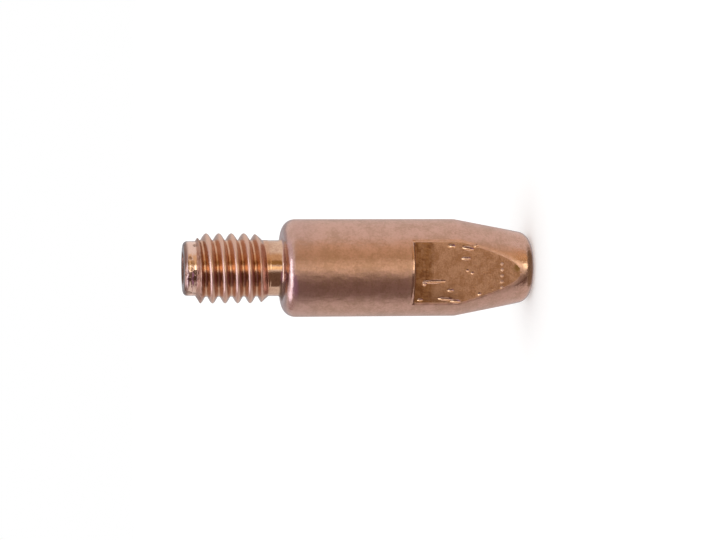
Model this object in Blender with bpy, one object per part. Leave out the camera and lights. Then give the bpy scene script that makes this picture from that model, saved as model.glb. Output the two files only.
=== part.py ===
# Contact tip for a wire-feed welding torch, turned in one piece from copper bar.
# It stands on its nose: the origin is the centre of the nose face.
# +Z runs along the wire bore to the thread end, and the spanner flats face -Y and +Y.

import bmesh
import bpy
from math import cos, pi, radians, sin, tan
from mathutils import Matrix, Vector

# Driving dimensions, in millimetres and degrees
overall_length = 28.0
body_diameter = 7.8

thread_length = 7.8  # from the thread end to the shoulder
thread_diameter = 5.6  # M6 x 1, over the truncated crests of a copper thread
thread_pitch = 1.0
thread_depth = 0.55 * thread_pitch
thread_root_flat = 0.16 * thread_pitch
thread_flank_angle = 30.0  # each flank, from a plane square to the axis
runout_flank_angle = 46.0  # the flank that the run-out leaves on the last turn

pilot_below_root = 0.075  # the pilot and the undercut are a little smaller than the thread's root
pilot_length = 0.7
pilot_round = 0.35
lead_in_angle = 40.0  # of the blank's taper between the pilot and the full thread

undercut_below_root = 0.025
undercut_width = 1.0
undercut_wall_angle = 45.0
shoulder_land = 0.62  # flat ring between the undercut and the corner's round

cone_length = 6.2
cone_half_angle = 10.8
nose_radius = 1.1

flat_spacing = 5.9  # across the two flats, for a 6 mm spanner
flat_length = 9.8  # from the nose to the step

bore_diameter = 1.2  # for 1.0 mm wire
bore_edge_break = 0.15
funnel_diameter = 2.6
funnel_half_angle = 30.0

# Fineness of the mesh
segments = 72
round_steps = 6

# Clearances of the cutters, in millimetres
cutter_overshoot = 1.0
crest_overshoot = 0.1 * thread_pitch  # small, so that neighbouring turns of the groove cutter stay apart
groove_end_gap = 0.4  # the groove cutter starts and stops this far from the shoulder and from the thread end

# The groove starts in the undercut at this angle, stays open to it, and narrows to the thread's own section
groove_start_angle = 47.0
runout_turns = 0.95
runout_fade_turns = 0.4

mm = 0.001

# Radii and heights worked out from the driving dimensions
body_radius = body_diameter / 2
thread_radius = thread_diameter / 2
root_radius = thread_radius - thread_depth
pilot_radius = root_radius - pilot_below_root
undercut_radius = root_radius - undercut_below_root
shoulder_radius = body_radius - undercut_radius - shoulder_land
bore_radius = bore_diameter / 2
funnel_radius = funnel_diameter / 2

shoulder_height = overall_length - thread_length
undercut_top = shoulder_height + undercut_width
lead_in_length = (thread_radius - pilot_radius) / tan(radians(lead_in_angle))
full_thread_height = overall_length - pilot_length - lead_in_length


def clear_scene():
    for item in list(bpy.data.objects):
        bpy.data.objects.remove(item, do_unlink=True)


def arc(centre_radius, centre_height, radius, start_degrees, end_degrees):
    """Points (radius, height) along an arc; 0 degrees points away from the axis and 90 degrees up."""
    points = []
    for step in range(round_steps + 1):
        angle = radians(start_degrees + (end_degrees - start_degrees) * step / round_steps)
        points.append((centre_radius + radius * cos(angle), centre_height + radius * sin(angle)))
    return points


def nose_outline():
    """The nose face, and the round that is tangent to it and to the cone."""
    slope = radians(cone_half_angle)
    cone_radius_at_centre = body_radius - (cone_length - nose_radius) * tan(slope)
    centre_radius = cone_radius_at_centre - nose_radius / cos(slope)
    return arc(centre_radius, nose_radius, nose_radius, -90.0, -cone_half_angle)


def shoulder_outline():
    """The round between the body and the shoulder face."""
    centre_radius = body_radius - shoulder_radius
    return arc(centre_radius, shoulder_height - shoulder_radius, shoulder_radius, 0.0, 90.0)


def pilot_outline():
    """The round at the pilot's end."""
    return arc(pilot_radius - pilot_round, overall_length - pilot_round, pilot_round, 0.0, 90.0)


def blank_outline():
    """The turned blank's half section as (radius, height), from the bore's edge at the nose round to the funnel."""
    undercut_wall = (thread_radius - undercut_radius) / tan(radians(undercut_wall_angle))
    funnel_depth = (funnel_radius - bore_radius) / tan(radians(funnel_half_angle))
    outline = [(bore_radius, bore_edge_break), (bore_radius + bore_edge_break, 0.0)]
    outline += nose_outline()
    outline += [(body_radius, cone_length)]
    outline += shoulder_outline()
    outline += [
        (undercut_radius, shoulder_height),
        (undercut_radius, undercut_top),
        (thread_radius, undercut_top + undercut_wall),
        (thread_radius, full_thread_height),
        (pilot_radius, overall_length - pilot_length),
    ]
    outline += pilot_outline()
    outline += [(funnel_radius, overall_length), (bore_radius, overall_length - funnel_depth)]
    return outline


def new_object(name, mesh_source):
    """Makes an object from a bmesh with its faces pointing outwards."""
    bmesh.ops.recalc_face_normals(mesh_source, faces=mesh_source.faces)
    mesh = bpy.data.meshes.new(name)
    mesh_source.to_mesh(mesh)
    mesh_source.free()
    made = bpy.data.objects.new(name, mesh)
    bpy.context.scene.collection.objects.link(made)
    return made


def turned_blank(name):
    """Spins the half section round the axis."""
    lathe = bmesh.new()
    corners = [lathe.verts.new((radius * mm, 0.0, height * mm)) for radius, height in blank_outline()]
    edges = [lathe.edges.new((first, second)) for first, second in zip(corners, corners[1:] + corners[:1])]
    bmesh.ops.spin(
        lathe,
        geom=corners + edges,
        cent=(0.0, 0.0, 0.0),
        axis=(0.0, 0.0, 1.0),
        angle=2 * pi,
        steps=segments,
        use_merge=True,
    )
    return new_object(name, lathe)


def groove_section(centre_height, turns):
    """The groove cutter's section: a V with a flat root, opened towards the shoulder at the run-out."""
    outer_radius = thread_radius + crest_overshoot
    opened = min(1.0, max(0.0, (runout_turns + runout_fade_turns - turns) / runout_fade_turns))
    upper_angle = thread_flank_angle + opened * (runout_flank_angle - thread_flank_angle)
    root_half = thread_root_flat / 2
    lower_half = root_half + (outer_radius - root_radius) * tan(radians(thread_flank_angle))
    upper_half = root_half + (outer_radius - root_radius) * tan(radians(upper_angle))
    runout_height = shoulder_height + groove_end_gap

    def lowered(height):
        return height + opened * (runout_height - height)

    return [
        (root_radius, lowered(centre_height - root_half)),
        (outer_radius, lowered(centre_height - lower_half)),
        (outer_radius, centre_height + upper_half),
        (root_radius, centre_height + root_half),
    ]


def groove_cutter(name):
    """Sweeps the groove's section along a right-handed helix and closes both ends."""
    first_height = shoulder_height + groove_end_gap + thread_root_flat
    last_height = overall_length - groove_end_gap
    steps = round((last_height - first_height) / thread_pitch * segments)
    sweep = bmesh.new()
    rings = []
    for step in range(steps + 1):
        turns = step / segments
        turn = Matrix.Rotation(radians(groove_start_angle) + 2 * pi * turns, 3, "Z")
        section = groove_section(first_height + turns * thread_pitch, turns)
        places = [turn @ Vector((radius * mm, 0.0, height * mm)) for radius, height in section]
        rings.append([sweep.verts.new(place) for place in places])
    for ring, following in zip(rings, rings[1:]):
        for corner in range(len(ring)):
            beside = (corner + 1) % len(ring)
            sweep.faces.new((ring[corner], ring[beside], following[beside], following[corner]))
    sweep.faces.new(rings[0])
    sweep.faces.new(rings[-1])
    return new_object(name, sweep)


def flat_cutter(name, side):
    """A block that mills one flat from the nose up to the step; side is -1 for the front and 1 for the back."""
    inner = flat_spacing / 2
    outer = body_radius + cutter_overshoot
    low = -cutter_overshoot
    size = (2 * outer * mm, (outer - inner) * mm, (flat_length - low) * mm)
    centre = (0.0, side * (inner + outer) / 2 * mm, (flat_length + low) / 2 * mm)
    block = bmesh.new()
    bmesh.ops.create_cube(block, size=1.0, matrix=Matrix.LocRotScale(Vector(centre), None, Vector(size)))
    return new_object(name, block)


def cut(target, cutter, overlaps_itself=False):
    """Takes the cutter away from the target, and hides the cutter."""
    cutter.hide_render = True
    cutter.display_type = "WIRE"
    modifier = target.modifiers.new(cutter.name, "BOOLEAN")
    modifier.operation = "DIFFERENCE"
    modifier.solver = "EXACT"
    modifier.use_self = overlaps_itself
    modifier.object = cutter


def copper():
    material = bpy.data.materials.new("turned_copper")
    material.use_nodes = True
    shader = material.node_tree.nodes["Principled BSDF"]
    shader.inputs["Base Color"].default_value = (0.72, 0.43, 0.29, 1.0)
    shader.inputs["Metallic"].default_value = 1.0
    shader.inputs["Roughness"].default_value = 0.32
    return material


def build():
    clear_scene()
    tip = turned_blank("contact_tip")
    tip.data.materials.append(copper())
    tip.data.shade_smooth()
    tip.data.set_sharp_from_angle(angle=radians(20.0))
    cut(tip, groove_cutter("thread_groove_cutter"), overlaps_itself=True)
    cut(tip, flat_cutter("front_flat_cutter", -1))
    cut(tip, flat_cutter("back_flat_cutter", 1))


build()
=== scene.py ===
# Looks of the turned copper contact tip: a fine mesh, its finishes, a pale studio and the camera.
from math import atan2, ceil, cos, pi, radians, sin, sqrt, tan

import bmesh
import bpy
from mathutils import Matrix, Vector


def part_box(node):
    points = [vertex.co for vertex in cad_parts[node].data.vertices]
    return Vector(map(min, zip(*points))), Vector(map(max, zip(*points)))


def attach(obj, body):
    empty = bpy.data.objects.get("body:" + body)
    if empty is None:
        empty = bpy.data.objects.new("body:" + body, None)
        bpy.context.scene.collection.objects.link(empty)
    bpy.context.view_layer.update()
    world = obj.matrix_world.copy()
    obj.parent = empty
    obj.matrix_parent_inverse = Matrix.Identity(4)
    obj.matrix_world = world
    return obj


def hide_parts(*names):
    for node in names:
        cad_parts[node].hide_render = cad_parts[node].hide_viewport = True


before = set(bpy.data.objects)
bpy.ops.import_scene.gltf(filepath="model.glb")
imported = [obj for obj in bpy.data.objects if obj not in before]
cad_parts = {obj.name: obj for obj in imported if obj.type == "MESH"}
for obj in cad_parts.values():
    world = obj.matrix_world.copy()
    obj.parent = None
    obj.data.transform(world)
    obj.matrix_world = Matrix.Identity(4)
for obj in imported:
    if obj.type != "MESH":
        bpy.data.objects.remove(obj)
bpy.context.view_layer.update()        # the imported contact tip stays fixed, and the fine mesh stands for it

tipLow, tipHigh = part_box("contact_tip")
mm = 0.001

# The tip's sizes in millimetres and degrees. Length and body come from the frame.
tip = {
    "length": (tipHigh.z - tipLow.z) / mm,
    "bodyRadius": (tipHigh.x - tipLow.x) / mm / 2,
    "shoulderRound": 1.055,
    "seatDrop": 0.08,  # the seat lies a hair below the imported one, as in the photo
    "undercutRadius": 2.225,
    "undercutRound": 0.36,
    "undercutWidth": 1.0,
    "pilotRadius": 2.175,
    "pilotLength": 0.98,
    "pilotRound": 0.35,
    "funnelRadius": 1.3,
    "funnelAngle": 30.0,
    "boreRadius": 0.6,
    "boreEdge": 0.15,
    "noseRound": 1.1,
    "coneLength": 6.2,
    "coneAngle": 10.8,
    "coneRound": 1.5,  # softens the line where the cone starts
    "flatHalf": 2.95,
    "flatTop": 9.86,
    "edgeRound": 0.14,  # burnished edges of the flats
    "stepRound": 0.3,
    "smallRound": 0.05,
}

# How fine the mesh is. Its columns gather at the flats' edges, in millimetres and degrees.
fineness = {
    "columns": 192,
    "roundSteps": 12,
    "smallRoundSteps": 4,
    "stepRimSteps": 9,
    "sharpAngle": 35.0,  # faces that meet at more than this keep a hard edge
    "gatherFrom": 34.0,  # the columns between these angles from a flat's middle move to its edge
    "gatherTo": 46.0,
    "bandHalf": 1.3,  # half the band that they gather in
    "leastMiddle": 3.5,  # the band's middle stays this far from the flat's
    "beyondBore": 1.6,  # rows nearer to the bore's wall than this keep even columns
    "riseFrom": 0.5,  # the gathering sets in above the nose and fades out above the flats
    "riseOver": 0.9,
    "fadeTo": 3.2,
    "fadeOver": 3.0,
}

# The thread as a groove that climbs round the shank, in millimetres and degrees.
thread = {
    "length": 7.8,
    "radius": 2.8,
    "rootRadius": 2.25,
    "pitch": 1.0,
    "rootFlat": 0.16,
    "flankAngle": 30.0,
    "leadInAngle": 58.0,
    "startAngle": 47.0,
    "startAboveShoulder": 0.56,
    "runoutTurns": 0.95,
    "runoutFade": 0.4,
    "runoutFlankAngle": 46.0,
    "runoutAboveShoulder": 0.4,
    "crestRound": 0.4,
    "rootRound": 0.06,
    "crestWear": 0.03,
    "nicksPerTurn": 9.0,
    "nickScale": 1.7,
    "rowsPerPitch": 32,
    "snap": 0.008,
    "joinGap": 0.32,  # plain stretch beyond both ends, where the shank joins the turned rows
}

shoulderHeight = tip["length"] - thread["length"]
pilotFoot = tip["length"] - tip["pilotLength"]
threadLow = shoulderHeight + thread["joinGap"]
threadHigh = pilotFoot + thread["joinGap"]


# Short ways to add objects and to write node trees

def addObject(name, data):
    made = bpy.data.objects.new(name, data)
    bpy.context.scene.collection.objects.link(made)
    return made


def give(tree, socket, value):
    if isinstance(value, bpy.types.NodeSocket):
        tree.links.new(value, socket)
    elif value is not None:
        socket.default_value = value


def addNode(tree, kind, inputs=None, **settings):
    node = tree.nodes.new(kind)
    for name, value in settings.items():
        setattr(node, name, value)
    for key, value in (inputs or {}).items():
        give(tree, node.inputs[key], value)
    return node


def calc(tree, operation, *values, clamp=False):
    node = addNode(tree, "ShaderNodeMath", operation=operation, use_clamp=clamp)
    for socket, value in zip(node.inputs, values):
        give(tree, socket, value)
    return node.outputs[0]


def plus(tree, first, second):
    return calc(tree, "ADD", first, second)


def minus(tree, first, second):
    return calc(tree, "SUBTRACT", first, second)


def times(tree, first, second):
    return calc(tree, "MULTIPLY", first, second)


def over(tree, first, second):
    return calc(tree, "DIVIDE", first, second)


def timesPlus(tree, value, factor, addend):
    return calc(tree, "MULTIPLY_ADD", value, factor, addend)


def vectorCalc(tree, operation, inputs):
    node = addNode(tree, "ShaderNodeVectorMath", inputs, operation=operation)
    return node.outputs["Value" if operation in ("LENGTH", "DISTANCE") else "Vector"]


def stretched(tree, position, factors):
    return vectorCalc(tree, "MULTIPLY", {0: position, 1: factors})


def radiusOf(tree, position):
    return vectorCalc(tree, "LENGTH", {0: stretched(tree, position, (1.0, 1.0, 0.0))})


def splitUp(tree, position):
    return addNode(tree, "ShaderNodeSeparateXYZ", {0: position}).outputs


def ramp(tree, value, fromLow, fromHigh, toLow=0.0, toHigh=1.0, smooth=False):
    given = {"Value": value, "From Min": fromLow, "From Max": fromHigh, "To Min": toLow, "To Max": toHigh}
    kind = "SMOOTHSTEP" if smooth else "LINEAR"
    return addNode(tree, "ShaderNodeMapRange", given, clamp=True, interpolation_type=kind).outputs["Result"]


def panelMask(tree, value, low, high, soft=0.15):
    rising = ramp(tree, value, low, low + soft, smooth=True)
    return times(tree, rising, ramp(tree, value, high - soft, high, 1.0, 0.0, smooth=True))


def noise(tree, position, scale, detail=2.0, roughness=0.5):
    inputs = {"Vector": position, "Scale": scale, "Detail": detail, "Roughness": roughness}
    return addNode(tree, "ShaderNodeTexNoise", inputs).outputs[0]


def mixValues(tree, share, first, second):
    inputs = {0: share, 2: first, 3: second}
    return addNode(tree, "ShaderNodeMix", inputs, data_type="FLOAT").outputs[0]


def mixColours(tree, share, first, second):
    inputs = {0: share, 6: first, 7: second}
    return addNode(tree, "ShaderNodeMix", inputs, data_type="RGBA").outputs[2]


def addSockets(tree, direction, kinds):
    for name, kind in kinds.items():
        tree.interface.new_socket(name=name, in_out=direction, socket_type="NodeSocket" + kind)


def setInput(modifier, name, value):
    for item in modifier.node_group.interface.items_tree:
        if item.item_type == "SOCKET" and item.in_out == "INPUT" and item.name == name:
            modifier[item.identifier] = value


# The half section of the turned part

def filletedPath(corners):
    # each corner is (radius, height, rounding, rows of the straight stretch that follows)
    path = []
    for index, (radius, height, rounding, rows) in enumerate(corners):
        here = Vector((radius, height))
        arcPoints = [here]
        if rounding:
            towardsLast = (Vector(corners[index - 1][:2]) - here).normalized()
            towardsNext = (Vector(corners[index + 1][:2]) - here).normalized()
            halfAngle = towardsLast.angle(towardsNext) / 2
            centre = here + (towardsLast + towardsNext).normalized() * rounding / sin(halfAngle)
            start = here + towardsLast * rounding / tan(halfAngle) - centre
            end = here + towardsNext * rounding / tan(halfAngle) - centre
            sweep = atan2(start.cross(end), start.dot(end))
            steps = fineness["roundSteps" if rounding > tip["smallRound"] else "smallRoundSteps"]
            turns = [Matrix.Rotation(sweep * step / steps, 2) for step in range(steps + 1)]
            arcPoints = [centre + turn @ start for turn in turns]
        if path:
            straightFrom, straightRows = path[-1], corners[index - 1][3]
            for step in range(1, straightRows):
                path.append(straightFrom.lerp(arcPoints[0], step / straightRows))
        path.extend(arcPoints)
    return path


def halfSection():
    # rows of (radius, height, kept radius, share of shifted columns)
    body = tip["bodyRadius"]
    funnelFoot = tip["length"] - (tip["funnelRadius"] - tip["boreRadius"]) / tan(radians(tip["funnelAngle"]))
    noseCorner = body - tip["coneLength"] * tan(radians(tip["coneAngle"]))
    small = tip["smallRound"]
    lower = filletedPath([
        (tip["pilotRadius"], threadHigh, 0, 1),
        (tip["pilotRadius"], tip["length"], tip["pilotRound"], 1),
        (tip["funnelRadius"], tip["length"], small, 4),
        (tip["boreRadius"], funnelFoot, small, 9),
        (tip["boreRadius"], tip["boreEdge"], small, 1),
        (tip["boreRadius"] + tip["boreEdge"], 0, small, 3),
        (noseCorner, 0, tip["noseRound"], 34),
        (body, tip["coneLength"], tip["coneRound"], 10),
        (body, tip["flatTop"], 0, 0),
    ])
    upper = filletedPath([
        (body, tip["flatTop"] + tip["stepRound"], 0, 14),
        (body, shoulderHeight - tip["seatDrop"], tip["shoulderRound"], 3),
        (tip["undercutRadius"], shoulderHeight - tip["seatDrop"], tip["undercutRound"], 1),
        (tip["undercutRadius"], threadLow, 0, 0),
    ])
    rows = [(radius, height, 0.0, columnShift(radius, height)) for radius, height in lower]
    rimSteps = fineness["stepRimSteps"]
    for step in range(rimSteps):  # the step's rounded rim, from its face to the body
        turn = radians(90 * step / rimSteps)
        height = tip["flatTop"] + tip["stepRound"] * (1 - cos(turn))
        rows.append((body, height, body - tip["stepRound"] * (1 - sin(turn)), 1.0))
    rows += [(radius, height, radius, columnShift(radius, height)) for radius, height in upper]
    return rows


def columnShift(radius, height):
    # columns gather at the flats' edges, and spread out evenly again above and below the flats
    if radius <= tip["boreRadius"] + fineness["beyondBore"]:
        return 0.0
    rising = (height - fineness["riseFrom"]) / fineness["riseOver"]
    falling = (tip["flatTop"] + fineness["fadeTo"] - height) / fineness["fadeOver"]
    return max(0.0, min(1.0, rising, falling))


def outlineObject():
    rows = halfSection()
    mesh = bpy.data.meshes.new("halfSection")
    mesh.from_pydata([(row[0], 0, row[1]) for row in rows], [(n, n + 1) for n in range(len(rows) - 1)], [])
    for name, column in (("keptRadius", 2), ("columnShift", 3)):
        attribute = mesh.attributes.new(name, "FLOAT", "POINT")
        attribute.data.foreach_set("value", [row[column] for row in rows])
    return addObject("halfSection", mesh)


# Geometry nodes: the turned rows with the two milled flats

def gridOfPoints(tree, columns, rows):
    counts = {"Vertices X": plus(tree, columns, 1.0), "Vertices Y": rows}
    grid = addNode(tree, "GeometryNodeMeshGrid", counts)
    index = addNode(tree, "GeometryNodeInputIndex").outputs[0]
    column = calc(tree, "FLOOR", over(tree, plus(tree, index, 0.5), rows))
    row = minus(tree, index, times(tree, column, rows))
    return grid.outputs["Mesh"], over(tree, column, columns), row


def placeOnTurn(tree, mesh, angle, radius, height):
    across = times(tree, radius, calc(tree, "COSINE", angle))
    along = times(tree, radius, calc(tree, "SINE", angle))
    place = addNode(tree, "ShaderNodeCombineXYZ", {"X": across, "Y": along, "Z": height}).outputs[0]
    scaled = vectorCalc(tree, "SCALE", {0: place, "Scale": mm})
    return addNode(tree, "GeometryNodeSetPosition", {"Geometry": mesh, "Position": scaled}).outputs[0]


def sampled(tree, outline, value, row, kind):
    inputs = {"Geometry": outline, "Value": value, "Index": row}
    node = addNode(tree, "GeometryNodeSampleIndex", inputs, data_type=kind, domain="POINT", clamp=True)
    return node.outputs["Value"]


def rowAttribute(tree, outline, name, row):
    named = addNode(tree, "GeometryNodeInputNamedAttribute", {"Name": name}, data_type="FLOAT")
    return sampled(tree, outline, named.outputs["Attribute"], row, "FLOAT")


def turnedRows(tree, given):
    outline = given["Half Section"]
    rowCount = addNode(tree, "GeometryNodeAttributeDomainSize", {"Geometry": outline}).outputs["Point Count"]
    mesh, share, row = gridOfPoints(tree, given["Columns"], rowCount)
    position = addNode(tree, "GeometryNodeInputPosition").outputs[0]
    place = sampled(tree, outline, position, row, "FLOAT_VECTOR")
    parts = splitUp(tree, place)
    turned, height = parts["X"], parts["Z"]
    kept = rowAttribute(tree, outline, "keptRadius", row)
    shift = rowAttribute(tree, outline, "columnShift", row)

    # angle from the middle of the nearer flat, and the angle at which that flat ends on this row
    evenAngle = timesPlus(tree, share, 2 * pi, given["Start Angle"])
    fromFlat = calc(tree, "WRAP", minus(tree, evenAngle, pi / 2), pi / 2, -pi / 2)
    flatShare = calc(tree, "MINIMUM", 1.0, over(tree, given["Flat Half"], turned))
    edgeAngle = calc(tree, "ARCCOSINE", flatShare)

    # columns gather in a narrow band at the flat's edge
    gatherFrom, gatherTo = radians(fineness["gatherFrom"]), radians(fineness["gatherTo"])
    bandHalf = radians(fineness["bandHalf"])
    bandMiddle = calc(tree, "MAXIMUM", edgeAngle, radians(fineness["leastMiddle"]))
    bandStart = mixValues(tree, shift, gatherFrom, minus(tree, bandMiddle, bandHalf))
    bandEnd = mixValues(tree, shift, gatherTo, plus(tree, bandMiddle, bandHalf))
    size = calc(tree, "ABSOLUTE", fromFlat)
    beforeBand = ramp(tree, size, 0.0, gatherFrom, 0.0, bandStart)
    inBand = ramp(tree, size, gatherFrom, gatherTo, 0.0, minus(tree, bandEnd, bandStart))
    afterBand = ramp(tree, size, gatherTo, pi / 2, 0.0, minus(tree, pi / 2, bandEnd))
    shifted = plus(tree, plus(tree, beforeBand, inBand), afterBand)
    flatMiddle = minus(tree, evenAngle, fromFlat)
    angle = timesPlus(tree, shifted, calc(tree, "SIGN", fromFlat), flatMiddle)

    # the flat is a plane, met by the turned surface with a small round
    cosine = calc(tree, "MAXIMUM", calc(tree, "COSINE", shifted), 0.05)  # kept away from zero
    plane = over(tree, given["Flat Half"], cosine)
    rounding = times(tree, given["Edge Round"], calc(tree, "TANGENT", edgeAngle))
    milled = calc(tree, "SMOOTH_MIN", turned, plane, rounding)
    radius = calc(tree, "MAXIMUM", milled, kept)
    return placeOnTurn(tree, mesh, angle, radius, height)


# Geometry nodes: the thread, on rows that climb with the groove

def openedShare(tree, given, turns):
    left = minus(tree, plus(tree, given["Runout Turns"], given["Runout Fade"]), turns)
    return calc(tree, "DIVIDE", left, given["Runout Fade"], clamp=True)


def threadRows(tree, given):
    mesh, share, row = gridOfPoints(tree, given["Columns"], given["Thread Rows"])
    pitch, rootHalf = given["Pitch"], over(tree, given["Root Flat"], 2.0)
    rowTurns = over(tree, minus(tree, row, given["Rows Below"]), given["Rows Per Pitch"])
    climbed = times(tree, plus(tree, rowTurns, share), pitch)
    free = plus(tree, given["First Height"], climbed)
    # rows beyond an end, or hardly short of it, lie on that end
    fromLow = minus(tree, free, given["Thread Low"])
    offLow = calc(tree, "GREATER_THAN", fromLow, given["Snap"])
    height = timesPlus(tree, fromLow, offLow, given["Thread Low"])
    toHigh = minus(tree, given["Thread High"], height)
    keptGap = times(tree, toHigh, calc(tree, "GREATER_THAN", toHigh, given["Snap"]))
    height = minus(tree, given["Thread High"], keptGap)
    turns = minus(tree, over(tree, minus(tree, height, given["First Height"]), pitch), share)
    turnBelow = calc(tree, "FLOOR", turns)
    aboveGroove = times(tree, minus(tree, turns, turnBelow), pitch)
    belowNext = minus(tree, pitch, aboveGroove)

    # the turn below, whose upper flank is flatter at the run-out
    opened = openedShare(tree, given, plus(tree, turnBelow, share))
    extra = minus(tree, given["Runout Flank Angle"], given["Flank Angle"])
    flank = timesPlus(tree, opened, extra, given["Flank Angle"])
    fromRoot = calc(tree, "SMOOTH_MAX", minus(tree, aboveGroove, rootHalf), 0.0, given["Root Round"])
    overBelow = over(tree, fromRoot, calc(tree, "TANGENT", flank))

    # the turn above, whose lower flank drops to the undercut at the run-out
    openedNext = openedShare(tree, given, plus(tree, plus(tree, turnBelow, share), 1.0))
    openedNext = calc(tree, "MINIMUM", openedNext, 0.99)
    sunk = minus(tree, height, times(tree, openedNext, given["Runout Height"]))
    level = over(tree, sunk, minus(tree, 1.0, openedNext))
    rootCorner = minus(tree, plus(tree, height, belowNext), rootHalf)
    toRoot = calc(tree, "SMOOTH_MAX", minus(tree, rootCorner, level), 0.0, given["Root Round"])
    overNext = over(tree, toRoot, calc(tree, "TANGENT", given["Flank Angle"]))
    groove = plus(tree, given["Root Radius"], calc(tree, "MINIMUM", overBelow, overNext))

    # the turned blank under the thread: undercut wall, crest and lead-in
    aboveUndercut = calc(tree, "MAXIMUM", 0.0, minus(tree, height, given["Undercut Top"]))
    wall = plus(tree, given["Undercut Radius"], aboveUndercut)
    taper = calc(tree, "MAXIMUM", 0.0, minus(tree, given["Pilot Foot"], height))
    slope = calc(tree, "TANGENT", given["Lead In Angle"])
    leadIn = timesPlus(tree, taper, slope, given["Pilot Radius"])
    crest = calc(tree, "SMOOTH_MIN", wall, given["Thread Radius"], given["Root Round"])
    blank = calc(tree, "MINIMUM", crest, leadIn)

    # small nicks and an uneven run make the crests look cut and handled; they fade where the columns meet
    alongTurn = times(tree, share, thread["nicksPerTurn"])
    place = addNode(tree, "ShaderNodeCombineXYZ", {"X": alongTurn, "Y": 0.0, "Z": height}).outputs[0]
    uneven = minus(tree, noise(tree, place, thread["nickScale"], 3.0), 0.5)
    seam = times(tree, times(tree, share, minus(tree, 1.0, share)), 4.0)
    nick = times(tree, times(tree, uneven, given["Crest Wear"]), seam)
    onShank = ramp(tree, blank, given["Undercut Radius"], given["Thread Radius"])
    rounding = times(tree, given["Crest Round"], onShank)
    plain = calc(tree, "SMOOTH_MIN", blank, groove, rounding)
    onThread = times(tree, onShank, ramp(tree, groove, given["Root Radius"], given["Thread Radius"]))
    radius = timesPlus(tree, nick, onThread, plain)
    angle = timesPlus(tree, share, 2 * pi, given["Start Angle"])
    return placeOnTurn(tree, mesh, angle, radius, height)


# Geometry nodes: both sets of rows become one closed mesh with a finish for each region

def compared(tree, operation, value, bound):
    inputs = {0: value, 1: bound}
    node = addNode(tree, "FunctionNodeCompare", inputs, data_type="FLOAT", operation=operation)
    return node.outputs[0]


def isAbove(tree, value, low):
    return compared(tree, "GREATER_THAN", value, low)


def isBelow(tree, value, high):
    return compared(tree, "LESS_THAN", value, high)


def both(tree, first, second, operation="AND"):
    return addNode(tree, "FunctionNodeBooleanMath", {0: first, 1: second}, operation=operation).outputs[0]


def regionMasks(tree, given):
    near, square = 0.01, 0.9995  # a tolerance in millimetres, and how square a milled face looks out
    position = addNode(tree, "GeometryNodeInputPosition").outputs[0]
    scaled = vectorCalc(tree, "SCALE", {0: position, "Scale": 1 / mm})
    radius = radiusOf(tree, scaled)
    height = splitUp(tree, scaled)["Z"]
    normal = splitUp(tree, addNode(tree, "GeometryNodeInputNormal").outputs[0])
    facingFlat = isAbove(tree, calc(tree, "ABSOLUTE", normal["Y"]), square)
    onFlat = both(tree, facingFlat, isBelow(tree, height, given["Flat Top"]))
    facingEnd = isAbove(tree, calc(tree, "ABSOLUTE", normal["Z"]), 0.99)
    fromStep = calc(tree, "ABSOLUTE", minus(tree, height, given["Flat Top"]))
    onStep = both(tree, facingEnd, isBelow(tree, fromStep, near))
    inBore = isBelow(tree, radius, plus(tree, given["Bore Radius"], 2 * near))
    inShank = isAbove(tree, height, given["Shoulder Height"])
    inFunnel = both(tree, isBelow(tree, radius, tip["funnelRadius"]), inShank)
    onShank = isAbove(tree, height, plus(tree, given["Shoulder Height"], near))
    return onShank, both(tree, onFlat, onStep, "OR"), both(tree, inBore, inFunnel, "OR")


def turnedTipTree(counts, sizes, finishes):
    tree = bpy.data.node_groups.new("turnedTip", "GeometryNodeTree")
    addSockets(tree, "INPUT", {"Half Section": "Geometry"})
    for kind, names in (("Int", counts), ("Float", sizes), ("Material", finishes)):
        addSockets(tree, "INPUT", {name: kind for name in names})
    addSockets(tree, "OUTPUT", {"Geometry": "Geometry"})
    given = addNode(tree, "NodeGroupInput").outputs
    joined = addNode(tree, "GeometryNodeJoinGeometry")
    tree.links.new(turnedRows(tree, given), joined.inputs[0])
    tree.links.new(threadRows(tree, given), joined.inputs[0])
    welded = {"Geometry": joined.outputs[0], "Distance": 0.001 * mm}
    merged = addNode(tree, "GeometryNodeMergeByDistance", welded)
    smooth = addNode(tree, "GeometryNodeSetShadeSmooth", {"Geometry": merged.outputs[0]})
    shape = addNode(tree, "GeometryNodeRealizeInstances", {"Geometry": smooth.outputs[0]}).outputs[0]
    onShank, onMilled, inBore = regionMasks(tree, given)
    for mask, name in ((None, "Turned"), (onShank, "Threaded"), (onMilled, "Milled"), (inBore, "Bored")):
        paint = {"Geometry": shape, "Selection": mask, "Material": given[name]}
        shape = addNode(tree, "GeometryNodeSetMaterial", paint).outputs[0]
    addNode(tree, "NodeGroupOutput", {"Geometry": shape})
    return tree


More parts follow.
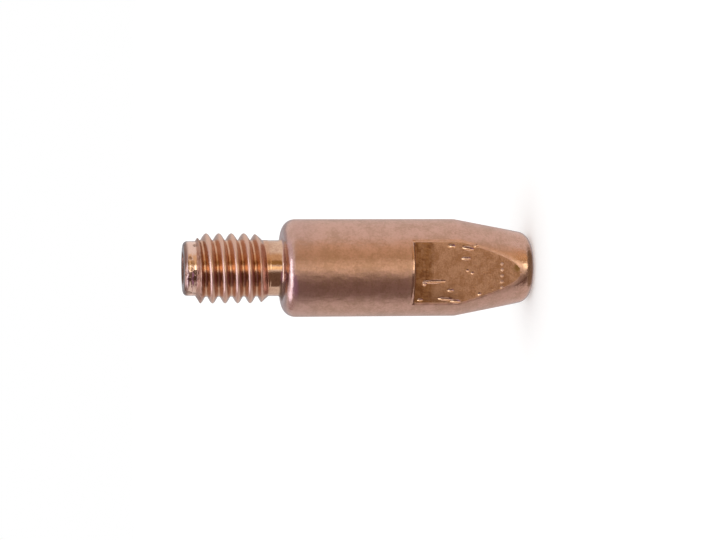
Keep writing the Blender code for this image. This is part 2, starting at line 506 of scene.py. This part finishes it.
def turnTip(finishes):
    outline = outlineObject()
    modifier = outline.modifiers.new("turnedTip", "NODES")
    firstHeight = shoulderHeight + thread["startAboveShoulder"]
    perPitch = thread["rowsPerPitch"]
    rowsBelow = ceil((1 + (firstHeight - threadLow) / thread["pitch"]) * perPitch)
    rowsAbove = ceil((threadHigh - firstHeight) / thread["pitch"] * perPitch)
    counts = {"Columns": fineness["columns"], "Thread Rows": rowsBelow + rowsAbove + 1}
    sizes = {
        "Rows Below": float(rowsBelow), "Rows Per Pitch": float(perPitch), "Flat Half": tip["flatHalf"],
        "Flat Top": tip["flatTop"], "Edge Round": tip["edgeRound"], "Bore Radius": tip["boreRadius"],
        "Undercut Radius": tip["undercutRadius"], "Undercut Top": shoulderHeight + tip["undercutWidth"],
        "Shoulder Height": shoulderHeight, "Pilot Radius": tip["pilotRadius"], "Pilot Foot": pilotFoot,
        "Thread Low": threadLow, "Thread High": threadHigh, "Thread Radius": thread["radius"],
        "Root Radius": thread["rootRadius"], "Pitch": thread["pitch"], "Root Flat": thread["rootFlat"],
        "Flank Angle": radians(thread["flankAngle"]), "Lead In Angle": radians(thread["leadInAngle"]),
        "Start Angle": radians(thread["startAngle"]), "First Height": firstHeight,
        "Runout Turns": thread["runoutTurns"], "Runout Fade": thread["runoutFade"],
        "Runout Flank Angle": radians(thread["runoutFlankAngle"]),
        "Runout Height": shoulderHeight + thread["runoutAboveShoulder"], "Crest Round": thread["crestRound"],
        "Root Round": thread["rootRound"], "Crest Wear": thread["crestWear"], "Snap": thread["snap"],
    }
    modifier.node_group = turnedTipTree(counts, sizes, finishes)
    for name, value in {**counts, **sizes, **finishes}.items():
        setInput(modifier, name, value)
    return plainMesh(outline, "turned_tip")


def plainMesh(source, name):
    # the evaluated result as a plain mesh at the origin, with its faces pointing out
    bpy.context.view_layer.update()
    evaluated = source.evaluated_get(bpy.context.evaluated_depsgraph_get())
    mesh = bpy.data.meshes.new_from_object(evaluated)
    mesh.name = name
    old = source.data
    bpy.data.objects.remove(source)
    bpy.data.meshes.remove(old)
    work = bmesh.new()
    work.from_mesh(mesh)
    bmesh.ops.recalc_face_normals(work, faces=work.faces)
    work.to_mesh(mesh)
    work.free()
    return addObject(name, mesh)


# Stamped marks on the flat that shows: plain strokes and dots, which spell nothing

stamps = {
    # (across the flat, height, length, width, depth, turn in degrees), the turn being from the tip's length
    "marks": [
        (-0.72, 8.30, 1.90, 0.34, 0.085, -2), (-0.90, 9.06, 0.42, 0.36, 0.09, 0),
        (-2.12, 7.40, 1.15, 0.30, 0.07, 6), (-2.30, 6.55, 0.85, 0.38, 0.10, 6),
        (1.92, 5.60, 0.95, 0.36, 0.08, 12), (1.12, 5.75, 0.75, 0.30, 0.07, 0),
        (-1.44, 6.95, 0.50, 0.30, 0.06, 0), (2.12, 6.90, 0.50, 0.34, 0.06, 10),
        (2.16, 4.90, 0.50, 0.34, 0.07, -20), (-2.18, 9.40, 0.45, 0.26, 0.05, 0),
        (0.16, 5.60, 0.24, 0.24, 0.02, 0), (-0.05, 5.22, 0.22, 0.22, 0.02, 0),
        (0.67, 2.83, 0.28, 0.28, 0.018, 0), (0.22, 2.80, 0.26, 0.30, 0.018, 0),
        (-0.27, 2.80, 0.30, 0.28, 0.02, 0), (-0.76, 2.80, 0.32, 0.26, 0.02, 0),
        (-1.22, 2.78, 0.28, 0.28, 0.022, 0), (-1.73, 4.60, 0.28, 0.28, 0.025, 0),
    ],
    "ovalHalf": 0.45,  # the marks are shallow caps of ovals this deep, so their walls slope gently
    "ovalSegments": 40,
    "ovalRings": 24,
}


def stampTree():
    # a small oval is put on each point, stretched and turned by the point's own values
    tree = bpy.data.node_groups.new("stampedMarks", "GeometryNodeTree")
    addSockets(tree, "INPUT", {"Points": "Geometry", "Finish": "Material"})
    addSockets(tree, "OUTPUT", {"Geometry": "Geometry"})
    given = addNode(tree, "NodeGroupInput").outputs
    ball = {"Segments": stamps["ovalSegments"], "Rings": stamps["ovalRings"], "Radius": 0.5 * mm}
    oval = addNode(tree, "GeometryNodeMeshUVSphere", ball).outputs["Mesh"]
    placed = addNode(tree, "GeometryNodeInstanceOnPoints", {"Points": given["Points"], "Instance": oval})
    for name, socket in (("size", "Scale"), ("turn", "Rotation")):
        stored = addNode(tree, "GeometryNodeInputNamedAttribute", {"Name": name}, data_type="FLOAT_VECTOR")
        give(tree, placed.inputs[socket], stored.outputs["Attribute"])
    real = addNode(tree, "GeometryNodeRealizeInstances", {"Geometry": placed.outputs[0]})
    # some ovals overlap, so they become one body first
    merged = addNode(tree, "GeometryNodeMeshBoolean", operation="UNION", solver="EXACT")
    merged.inputs["Self Intersection"].default_value = True
    tree.links.new(real.outputs[0], merged.inputs["Mesh 2"])
    paint = {"Geometry": merged.outputs["Mesh"], "Material": given["Finish"]}
    painted = addNode(tree, "GeometryNodeSetMaterial", paint)
    addNode(tree, "NodeGroupOutput", {"Geometry": painted.outputs[0]})
    return tree


def stampMarks(target, finish):
    half = stamps["ovalHalf"]
    places, sizes, turns = [], [], []
    for across, height, length, width, depth, turn in stamps["marks"]:
        shown = sqrt(1 - (1 - depth / half) ** 2)  # share of the oval's width where it meets the flat
        places.append((across * mm, -(tip["flatHalf"] + half - depth) * mm, height * mm))
        sizes += (width / shown, 2 * half, length / shown)
        turns += (0, radians(turn), 0)
    mesh = bpy.data.meshes.new("markPoints")
    mesh.from_pydata(places, [], [])
    for name, values in (("size", sizes), ("turn", turns)):
        attribute = mesh.attributes.new(name, "FLOAT_VECTOR", "POINT")
        attribute.data.foreach_set("vector", values)
    points = addObject("markPoints", mesh)
    modifier = points.modifiers.new("stampedMarks", "NODES")
    modifier.node_group = stampTree()
    setInput(modifier, "Finish", finish)
    cutter = plainMesh(points, "markCutter")
    cut = target.modifiers.new("stamped", "BOOLEAN")
    cut.operation = "DIFFERENCE"
    cut.material_mode = "TRANSFER"  # the cut faces take the cutter's finish
    cut.object = cutter
    stamped = plainMesh(target, target.name)
    bpy.data.objects.remove(cutter)
    return stamped


# How each finish looks. Colours are as a screen shows them, 0 to 255, and sizes are in millimetres.
# What lies over the copper has its share and its colour.

turnedLook = {
    "clean": (202, 160, 145),
    "dull": (176, 139, 119),
    "patchSize": 1.0,
    "grainSize": 0.17,
    "amount": 0.85,  # how much of the dull tone its patches take on
    "marksPerMm": 5.0,
    "marksWander": 0.12,
    "stainSpacing": 3.1,
    "stainSize": 0.3,
    "roughness": (0.34, 0.44),
    "roughSpots": 0.25,  # added where the copper is worn, and in the seat's corner under its painted shade
    "shoulderGloss": 0.62,  # share of the roughness that is left there
    "noseGloss": 0.6,
    "rimGloss": 0.55,
    "bumpDepth": 0.006,
    "streaks": (0.25, (204, 166, 148)),
    "byShoulder": (0.35, (188, 154, 148)),
    "stains": (0.5, (120, 60, 45)),
    "wornEdge": (0.6, (226, 184, 166)),
    # painted shade in the corner at the seat, on its -X side
    "seatShade": (0.85, (96, 66, 48)),
}
threadLook = {
    "clean": (206, 163, 138),
    "dull": (186, 140, 112),
    "patchSize": 0.9,
    "grainSize": 0.14,
    "amount": 0.8,
    "marksPerMm": 9.0,
    "marksWander": 0.2,
    "pitSpacing": 0.42,
    "pitSize": 0.36,
    "roughness": (0.14, 0.26),
    "addedRoughness": {"taper": 0.12, "crest": 0.13, "seatShade": 0.35, "undercut": -0.07},
    "bumpDepth": 0.006,
    "undercutClean": (212, 175, 150),
    "undercutDull": (192, 153, 130),
    "crest": (1.0, (207, 168, 149)),
    "pilot": (0.8, (228, 196, 183)),
    # painted shade at the foot of the undercut by the seat, on its -X side
    "seatShade": (0.85, (96, 66, 48)),
    "pits": (0.7, (120, 84, 64)),
    "taper": (0.5, (158, 116, 98)),
    "end": (0.9, (114, 82, 68)),
}
milledLook = {
    "clean": (200, 154, 126),
    "dull": (172, 124, 92),
    "patchSize": 0.7,
    "grainSize": 0.13,
    "amount": 0.95,
    "roughness": (0.3, 0.44),
    "bumpDepth": 0.012,
    # darker and browner towards the step
    "byStep": (0.8, (150, 102, 62)),
    # painted shade on the flat's -X side
    "lowSideShade": (0.5, (126, 88, 62)),
    "brownByStep": (0.6, (112, 66, 34)),
    "oliveStain": (0.8, (138, 104, 52)),
    "oliveAt": (0.3, -2.95, 1.58),  # on the front flat, by its point
}
stampedLook = {  # the punch leaves the marks smoother and paler than the milled face round them
    "clean": (228, 194, 180),
    "dull": (200, 158, 138),
    "patchSize": 0.3,
    "grainSize": 0.1,
    "amount": 0.8,
    "roughness": (0.12, 0.26),
    "noseRoughness": 0.26,  # added on the small dots by the nose, which are worn dull
    "bumpDepth": 0.006,
}
boreLook = {
    "clean": (124, 92, 76),
    "dull": (84, 62, 52),
    "patchSize": 0.7,
    "grainSize": 0.12,
    "amount": 0.9,
    "roughness": (0.3, 0.5),
    "bumpDepth": 0.008,
}


def tone(shade):
    # a screen's colour turned into what the shaders count in
    parts = [part / 255 for part in shade]
    linear = [part / 12.92 if part < 0.0404 else ((part + 0.055) / 1.055) ** 2.4 for part in parts]
    return (*linear, 1.0)


def shaderGroup(name, inputs, outputs):
    tree = bpy.data.node_groups.new(name, "ShaderNodeTree")
    addSockets(tree, "INPUT", inputs)
    addSockets(tree, "OUTPUT", outputs)
    return tree, addNode(tree, "NodeGroupInput").outputs, addNode(tree, "NodeGroupOutput")


def turningMarksGroup():
    # fine rings that the lathe leaves: noise drawn out round the axis and tight along it
    tree, given, out = shaderGroup(
        "turningMarks",
        {"Position": "Vector", "Marks Per Mm": "Float", "Wander": "Float"},
        {"Height": "Float", "Streak": "Float"},
    )
    parts = splitUp(tree, given["Position"])
    across = [times(tree, parts[axis], given["Wander"]) for axis in ("X", "Y")]
    along = times(tree, parts["Z"], given["Marks Per Mm"])
    place = addNode(tree, "ShaderNodeCombineXYZ", {"X": across[0], "Y": across[1], "Z": along}).outputs[0]
    give(tree, out.inputs["Height"], noise(tree, place, 1.0, 2.0, 0.6))
    streak = noise(tree, place, 0.23, 3.0, 0.6)
    give(tree, out.inputs["Streak"], ramp(tree, streak, 0.35, 0.7, smooth=True))
    return tree


def copperToneGroup():
    # uneven, lightly tarnished copper: broad clouds and a fine grain
    inputs = {"Position": "Vector", "Clean": "Color", "Dull": "Color"}
    inputs |= {name: "Float" for name in ("Patch Size", "Grain Size", "Amount")}
    outputs = {"Color": "Color", "Mask": "Float", "Grain": "Float"}
    tree, given, out = shaderGroup("copperTone", inputs, outputs)
    clouds = noise(tree, given["Position"], over(tree, 1.0, given["Patch Size"]), 3.0, 0.6)
    grain = noise(tree, given["Position"], over(tree, 1.0, given["Grain Size"]), 2.0, 0.7)
    grainyClouds = timesPlus(tree, minus(tree, grain, 0.5), 0.8, clouds)
    mask = ramp(tree, grainyClouds, 0.3, 0.72, smooth=True)
    dulled = times(tree, mask, given["Amount"])
    give(tree, out.inputs["Color"], mixColours(tree, dulled, given["Clean"], given["Dull"]))
    give(tree, out.inputs["Mask"], mask)
    give(tree, out.inputs["Grain"], grain)
    return tree


def specksGroup():
    # scattered small pits and stains
    inputs = {"Position": "Vector", "Spacing": "Float", "Size": "Float"}
    tree, given, out = shaderGroup("specks", inputs, {"Mask": "Float"})
    dots = addNode(tree, "ShaderNodeTexVoronoi", {"Vector": given["Position"]})
    give(tree, dots.inputs["Scale"], over(tree, 1.0, given["Spacing"]))
    chosen = addNode(tree, "ShaderNodeSeparateColor", {0: dots.outputs["Color"]}).outputs[0]
    reach = times(tree, over(tree, given["Size"], given["Spacing"]), chosen)
    edge = over(tree, dots.outputs["Distance"], calc(tree, "MAXIMUM", reach, 0.001))
    spot = ramp(tree, edge, 0.5, 1.0, 1.0, 0.0, smooth=True)
    give(tree, out.inputs["Mask"], times(tree, spot, calc(tree, "GREATER_THAN", chosen, 0.55)))
    return tree


def useGroup(tree, group, inputs):
    return addNode(tree, "ShaderNodeGroup", inputs, node_tree=group).outputs


def copperMaterial(name, look):
    made = bpy.data.materials.new(name)
    made.use_nodes = True
    tree = made.node_tree
    shader = tree.nodes["Principled BSDF"]
    shader.inputs["Metallic"].default_value = 1.0
    coordinates = addNode(tree, "ShaderNodeTexCoord").outputs["Object"]
    inMillimetres = {"Vector": coordinates, "Scale": (1 / mm, 1 / mm, 1 / mm)}
    position = addNode(tree, "ShaderNodeMapping", inMillimetres).outputs[0]
    tones = useGroup(tree, groups["tone"], {
        "Position": position, "Clean": tone(look["clean"]), "Dull": tone(look["dull"]),
        "Patch Size": look["patchSize"], "Grain Size": look["grainSize"], "Amount": look["amount"],
    })
    return made, shader, position, tones


def dressCopper(made, shader, colour, rough, relief, look):
    tree = made.node_tree
    give(tree, shader.inputs["Base Color"], colour)
    give(tree, shader.inputs["Roughness"], rough)
    depth = look["bumpDepth"] * mm
    bump = addNode(tree, "ShaderNodeBump", {"Height": relief, "Distance": depth, "Strength": 1.0})
    give(tree, shader.inputs["Normal"], bump.outputs[0])
    return made


def layered(tree, colour, look, masks):
    # each mask's own share and colour, from the look, laid over what is there
    for name, mask in masks.items():
        share, shade = look[name]
        colour = mixColours(tree, times(tree, mask, share), colour, tone(shade))
    return colour


def latheMarks(tree, position, look):
    inputs = {"Position": position, "Marks Per Mm": look["marksPerMm"], "Wander": look["marksWander"]}
    return useGroup(tree, groups["marks"], inputs)


def specks(tree, position, spacing, size):
    return useGroup(tree, groups["specks"], {"Position": position, "Spacing": spacing, "Size": size})["Mask"]


def waves(tree, position, scale, distortion, direction):
    inputs = {"Vector": position, "Scale": scale, "Distortion": distortion, "Detail": 2.0}
    return addNode(tree, "ShaderNodeTexWave", inputs, bands_direction=direction).outputs[1]


def grainRoughness(tree, tones, look):
    return ramp(tree, tones["Grain"], 0.2, 0.8, *look["roughness"])


# the -X side, where the seat's corner takes its painted shade
def onShadedSide(tree, across):
    return ramp(tree, across, -0.95, -0.6, 1.0, 0.0, smooth=True)


def turnedCopper():
    look = turnedLook
    made, shader, position, tones = copperMaterial("turnedCopper", look)
    tree = made.node_tree
    parts = splitUp(tree, position)
    height, fromMiddle = parts["Z"], calc(tree, "ABSOLUTE", parts["Y"])
    half, top = tip["flatHalf"], tip["flatTop"]
    marks = latheMarks(tree, position, look)
    byShoulder = ramp(tree, height, shoulderHeight - 3.7, shoulderHeight - 0.9, smooth=True)
    stains = specks(tree, position, look["stainSpacing"], look["stainSize"])
    # the flats' edges are worn pale and rough
    onEdge = ramp(tree, fromMiddle, half - 0.13, half - 0.03, smooth=True)
    onEdge = times(tree, onEdge, ramp(tree, height, top - 0.05, top, 1.0, 0.0))
    worn = times(tree, onEdge, ramp(tree, noise(tree, position, 1.6), 0.4, 0.6, 0.35, 1.0))
    # painted shade: the corner at the seat is darkened and roughened on its -X side
    corner = tip["undercutRadius"]
    seatShade = ramp(tree, radiusOf(tree, position), corner + 0.2, corner + 0.5, 1.0, 0.0)
    seatShade = times(tree, seatShade, calc(tree, "GREATER_THAN", height, shoulderHeight - 0.4))
    seatShade = times(tree, seatShade, onShadedSide(tree, parts["X"]))
    masks = {"streaks": marks["Streak"], "byShoulder": byShoulder, "stains": stains, "wornEdge": worn}
    colour = layered(tree, tones["Color"], look, {**masks, "seatShade": seatShade})
    # the shoulder, the nose and the step's rim are burnished
    low, high = shoulderHeight - 1.0, shoulderHeight - 0.5
    onShoulder = ramp(tree, height, low, high, 1.0, look["shoulderGloss"], smooth=True)
    burnished = times(tree, onShoulder, ramp(tree, height, 0.9, 2.8, look["noseGloss"], 1.0, smooth=True))
    onRim = panelMask(tree, height, top - 0.05, top + 0.4, 0.08)
    onRim = times(tree, onRim, ramp(tree, fromMiddle, half - 0.1, half))
    burnished = times(tree, burnished, timesPlus(tree, onRim, look["rimGloss"] - 1.0, 1.0))
    rough = times(tree, grainRoughness(tree, tones, look), burnished)
    rough = timesPlus(tree, calc(tree, "MAXIMUM", worn, seatShade), look["roughSpots"], rough)
    relief = plus(tree, times(tree, marks["Height"], 0.6), times(tree, tones["Grain"], 0.8))
    swell = noise(tree, stretched(tree, position, (1.0, 1.0, 0.8)), 1.0, 3.0, 0.6)
    return dressCopper(made, shader, colour, rough, timesPlus(tree, swell, 9.0, relief), look)


def threadCopper():
    look = threadLook
    made, shader, position, tones = copperMaterial("threadCopper", look)
    tree = made.node_tree
    parts = splitUp(tree, position)
    height = parts["Z"]
    marks = latheMarks(tree, position, look)
    radius = radiusOf(tree, position)
    crest = ramp(tree, radius, thread["rootRadius"] + 0.2, thread["radius"] - 0.06, smooth=True)
    # the undercut is bright, the taper dull and pitted, and the pilot shows the lathe's rings
    undercut = ramp(tree, height, shoulderHeight + 0.85, shoulderHeight + 1.25, 1.0, 0.0, smooth=True)
    taper = panelMask(tree, height, pilotFoot - 0.5, pilotFoot + 0.1)
    pilot = ramp(tree, height, pilotFoot - 0.1, pilotFoot + 0.1, smooth=True)
    end = ramp(tree, height, tip["length"] - 0.4, tip["length"] - 0.12, smooth=True)
    pits = specks(tree, position, look["pitSpacing"], look["pitSize"])
    pits = times(tree, pits, calc(tree, "MAXIMUM", taper, pilot))
    # painted shade: the foot of the undercut by the seat is darkened and roughened on its -X side
    seatShade = ramp(tree, height, shoulderHeight + 0.12, shoulderHeight + 0.34, 1.0, 0.0, smooth=True)
    seatShade = times(tree, seatShade, onShadedSide(tree, parts["X"]))
    colour = layered(tree, tones["Color"], look, {"crest": crest, "pilot": pilot})
    mottled = mixColours(tree, tones["Mask"], tone(look["undercutClean"]), tone(look["undercutDull"]))
    colour = mixColours(tree, undercut, colour, mottled)
    colour = layered(tree, colour, look, {"seatShade": seatShade, "pits": pits, "taper": taper, "end": end})
    rough = grainRoughness(tree, tones, look)
    for name, mask in {"taper": taper, "crest": crest, "seatShade": seatShade, "undercut": undercut}.items():
        rough = timesPlus(tree, mask, look["addedRoughness"][name], rough)
    rings = waves(tree, position, 0.8, 2.5, "Z")
    relief = plus(tree, times(tree, marks["Height"], 0.5), times(tree, tones["Grain"], 0.6))
    relief = timesPlus(tree, times(tree, rings, pilot), 7.0, relief)
    return dressCopper(made, shader, colour, rough, timesPlus(tree, pits, -4.0, relief), look)


def milledCopper():
    look = milledLook
    made, shader, position, tones = copperMaterial("milledCopper", look)
    tree = made.node_tree
    parts = splitUp(tree, position)
    height, top = parts["Z"], tip["flatTop"]
    # the cutter's marks lie across the tip, and short ridges run along it near the step
    ridges = noise(tree, stretched(tree, position, (0.3, 1.0, 4.0)), 1.0, 3.0, 0.65)
    ladder = panelMask(tree, height, top - 1.35, top - 0.55)
    ladder = times(tree, ladder, waves(tree, position, 0.95, 1.2, "X"))
    # the flat turns darker and browner towards the step, along its ridges and in patches
    nearStep = ramp(tree, height, top - 1.7, top - 1.1, smooth=True)
    byStep = times(tree, nearStep, ramp(tree, ridges, 0.35, 0.6, 0.55, 1.0))
    # painted shade: the flat is darker on its -X side, towards the step
    lowSideShade = times(tree, ramp(tree, parts["X"], -2.0, -0.7, 1.0, 0.0), ramp(tree, height, 5.8, 6.8))
    patches = noise(tree, position, 1.9, 3.0, 0.7)
    brown = times(tree, nearStep, ramp(tree, patches, 0.45, 0.62, smooth=True))
    fromOlive = vectorCalc(tree, "DISTANCE", {0: position, 1: look["oliveAt"]})
    ragged = timesPlus(tree, minus(tree, patches, 0.5), 0.5, fromOlive)
    olive = ramp(tree, ragged, 0.14, 0.44, 1.0, 0.0, smooth=True)
    masks = {"byStep": byStep, "lowSideShade": lowSideShade, "brownByStep": brown, "oliveStain": olive}
    colour = layered(tree, tones["Color"], look, masks)
    rough = ramp(tree, ridges, 0.25, 0.75, *look["roughness"])
    relief = plus(tree, times(tree, ridges, 1.4), times(tree, tones["Grain"], 1.1))
    return dressCopper(made, shader, colour, rough, timesPlus(tree, ladder, 0.22, relief), look)


def stampedCopper():
    look = stampedLook
    made, shader, position, tones = copperMaterial("stampedCopper", look)
    tree = made.node_tree
    worn = ramp(tree, splitUp(tree, position)["Z"], 3.4, 4.4, look["noseRoughness"], 0.0)
    rough = plus(tree, grainRoughness(tree, tones, look), worn)
    return dressCopper(made, shader, tones["Color"], rough, tones["Grain"], look)


def boreCopper():
    look = boreLook
    made, shader, position, tones = copperMaterial("boreCopper", look)
    rough = ramp(made.node_tree, tones["Mask"], 0.0, 1.0, *look["roughness"])
    return dressCopper(made, shader, tones["Color"], rough, tones["Grain"], look)


# The studio: floor, light and camera

studio = {
    "floorSize": 1.2,
    "floorColour": (0.8, 0.8, 0.8),
    "floorGlow": 0.3,
    "farWall": (0.55, 0.56, 0.6),
}

cameraView = {
    "azimuth": 8.0,
    "elevation": 8.67,
    "roll": -0.25,
    "distance": 180.0,  # millimetres from the tip's middle
    "pixelsPerMm": 12.478,
    "picture": (716, 540),
    "middleAt": (357.5, 267.8),  # where the tip's middle lies in the picture
    "sensorWidth": 36.0,
    "clipStart": 0.01,
}


def lightPathMask(tree):
    # 1 for what the camera, metal and glass see, and 0 for what lights the floor
    paths = addNode(tree, "ShaderNodeLightPath").outputs
    seen = calc(tree, "MAXIMUM", paths["Is Camera Ray"], paths["Is Glossy Ray"])
    return calc(tree, "MAXIMUM", seen, paths["Is Transmission Ray"])


def addFloor():
    half = studio["floorSize"] / 2
    mesh = bpy.data.meshes.new("floor")
    corners = [(-half, -half, 0), (half, -half, 0), (half, half, 0), (-half, half, 0)]
    mesh.from_pydata(corners, [], [(0, 1, 2, 3)])
    floor = addObject("floor", mesh)
    floor.visible_glossy = False  # the tip mirrors the studio and not the floor's edge
    made = bpy.data.materials.new("paleFloor")
    made.use_nodes = True
    tree = made.node_tree
    shader = tree.nodes["Principled BSDF"]
    shader.inputs["Base Color"].default_value = (*studio["floorColour"], 1)
    shader.inputs["Roughness"].default_value = 1.0
    shader.inputs["Specular IOR Level"].default_value = 0.0
    shader.inputs["Emission Color"].default_value = (1, 1, 1, 1)
    glow = times(tree, lightPathMask(tree), studio["floorGlow"])
    give(tree, shader.inputs["Emission Strength"], glow)
    mesh.materials.append(made)


# What stands round the tip in the studio, seen from it, later ones in front of earlier ones.
# Azimuth counts from the camera, up in the picture being positive.
# Overhead panels lean sideways and to the camera.
panels = {
    "paleRoom": {"azimuth": (-160, 160), "elevation": (-91, 91), "soft": 14, "colour": (1.0, 0.98, 0.96)},
    "dimSide": {"azimuth": (-150, -84), "elevation": (-60, 46), "soft": 10, "colour": (0.84, 0.81, 0.79)},
    "paleSky": {"azimuth": (-181, 181), "elevation": (46, 91), "soft": 8, "colour": (0.9, 0.87, 0.97)},
    "tanWall": {"azimuth": (5, 74), "elevation": (-60, 46), "soft": 22, "colour": (0.85, 0.64, 0.42)},
    "oliveGap": {"azimuth": (10, 34), "elevation": (-60, 46), "soft": 5, "colour": (0.42, 0.26, 0.09)},
    "darkCloth": {"azimuth": (-87, -10), "elevation": (-56, 56), "soft": 7, "colour": (0.19, 0.125, 0.095)},
    "plumCloth": {"azimuth": (-87, -11), "elevation": (8, 60), "soft": 8, "colour": (0.30, 0.17, 0.31)},
    "dimCorner": {"azimuth": (-150, -72), "elevation": (12, 52), "soft": 8, "colour": (0.55, 0.46, 0.45)},
    "paleCorner": {"azimuth": (-100, -61), "elevation": (-62, -20), "soft": 4, "colour": (0.84, 0.8, 0.78)},
    "warmLight": {"azimuth": (-7.2, 8.3), "elevation": (-62, 44), "soft": 3, "colour": (1.56, 1.28, 0.81)},
    "lampGlow": {"azimuth": (-10, 18), "elevation": (-62, -25), "soft": 4, "colour": (3.4, 3.4, 2.7)},
    "goldSide": {"azimuth": (20, 48), "elevation": (-60, -24), "soft": 5, "colour": (0.95, 0.68, 0.36)},
    "tableTop": {"azimuth": (-181, 181), "elevation": (-91, -50), "soft": 7, "colour": (0.29, 0.225, 0.155)},
}
overheadPanels = {
    "skyLight": {"azimuth": (-36, 16), "elevation": (0, 26), "soft": 6, "colour": (3.0, 3.4, 4.2)},
    "skyLow": {"azimuth": (-52, -22), "elevation": (-34, 14), "soft": 8, "colour": (2.4, 2.6, 3.3)},
}


def softPanelGroup():
    # a soft-edged rectangle by azimuth and elevation, both in degrees
    tree = bpy.data.node_groups.new("softPanel", "ShaderNodeTree")
    ends = ["Azimuth From", "Azimuth To", "Elevation From", "Elevation To", "Soft"]
    addSockets(tree, "INPUT", {name: "Float" for name in ["Azimuth", "Elevation"] + ends})
    addSockets(tree, "OUTPUT", {"Mask": "Float"})
    given = addNode(tree, "NodeGroupInput").outputs
    mask = 1.0
    for name in ("Azimuth", "Elevation"):
        low, high = given[name + " From"], given[name + " To"]
        rising = ramp(tree, minus(tree, given[name], low), 0.0, given["Soft"], smooth=True)
        falling = ramp(tree, minus(tree, high, given[name]), 0.0, given["Soft"], smooth=True)
        mask = times(tree, mask, times(tree, rising, falling))
    addNode(tree, "NodeGroupOutput", {"Mask": mask})
    return tree


def addPanel(tree, group, panel, azimuth, elevation, behind):
    given = {"Azimuth": azimuth, "Elevation": elevation, "Soft": panel["soft"]}
    for part in ("azimuth", "elevation"):
        given[part.title() + " From"], given[part.title() + " To"] = panel[part]
    mask = useGroup(tree, group, given)[0]
    return mixColours(tree, mask, behind, (*panel["colour"], 1))


def addWorld():
    world = bpy.data.worlds.new("studioWorld")
    bpy.context.scene.world = world
    world.use_nodes = True
    tree = world.node_tree
    direction = addNode(tree, "ShaderNodeTexCoord").outputs["Generated"]
    turned = addNode(tree, "ShaderNodeVectorRotate", {"Vector": direction}, rotation_type="Z_AXIS")
    turned.inputs["Angle"].default_value = -radians(cameraView["azimuth"])
    parts = splitUp(tree, turned.outputs[0])
    fromCamera = calc(tree, "ARCTAN2", parts["X"], times(tree, parts["Y"], -1.0))
    azimuth = calc(tree, "DEGREES", fromCamera)
    elevation = calc(tree, "DEGREES", calc(tree, "ARCSINE", parts["Z"]))
    up = calc(tree, "MAXIMUM", parts["Z"], 0.001)
    sideLean = calc(tree, "DEGREES", calc(tree, "ARCTAN2", parts["X"], up))
    cameraLean = calc(tree, "DEGREES", calc(tree, "ARCTAN2", times(tree, parts["Y"], -1.0), up))
    group = softPanelGroup()
    colour = (*studio["farWall"], 1)
    for panel in panels.values():
        colour = addPanel(tree, group, panel, azimuth, elevation, colour)
    for panel in overheadPanels.values():
        colour = addPanel(tree, group, panel, sideLean, cameraLean, colour)
    # metal sees the studio, the camera sees white, and the floor gets plain light
    paths = addNode(tree, "ShaderNodeLightPath").outputs
    mirrored = calc(tree, "MAXIMUM", paths["Is Glossy Ray"], paths["Is Transmission Ray"])
    seen = mixColours(tree, mirrored, (1, 1, 1, 1), colour)
    give(tree, tree.nodes["Background"].inputs["Color"], seen)


def addCamera():
    view = cameraView
    azimuth, elevation = radians(view["azimuth"]), radians(view["elevation"])
    width, height = view["picture"]
    back = Vector((sin(azimuth) * cos(elevation), -cos(azimuth) * cos(elevation), sin(elevation)))
    up = Vector((cos(azimuth), sin(azimuth), 0))  # the tip lies across the picture, thread to the left
    right = up.cross(back)
    atX, atY = view["middleAt"]
    shift = up * (atY - height / 2) - right * (atX - width / 2)
    middle = (tipLow + tipHigh) / 2
    aim = middle + shift / view["pixelsPerMm"] * mm
    camera = addObject("camera", bpy.data.cameras.new("camera"))
    camera.data.sensor_width = view["sensorWidth"]
    camera.data.lens = view["pixelsPerMm"] * view["distance"] / width * view["sensorWidth"]
    camera.data.clip_start = view["clipStart"]
    turn = Matrix((right, up, back)).transposed().to_4x4() @ Matrix.Rotation(radians(view["roll"]), 4, "Z")
    camera.matrix_world = Matrix.Translation(aim + back * view["distance"] * mm) @ turn
    bpy.context.scene.camera = camera


# Everything is made, and the tip takes the place of its CAD node

groups = {"marks": turningMarksGroup(), "tone": copperToneGroup(), "specks": specksGroup()}
finishes = {
    "Turned": turnedCopper(),
    "Threaded": threadCopper(),
    "Milled": milledCopper(),
    "Bored": boreCopper(),
}
print("finishes mixed")
turnedTip = turnTip(finishes)
turnedTip = stampMarks(turnedTip, stampedCopper())
turnedTip.data.set_sharp_from_angle(angle=radians(fineness["sharpAngle"]))
print("tip turned:", len(turnedTip.data.polygons), "faces")
addFloor()
addWorld()
addCamera()
print("studio ready")

bpy.context.scene.view_settings.view_transform = "Standard"
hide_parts("contact_tip")
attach(turnedTip, "root")
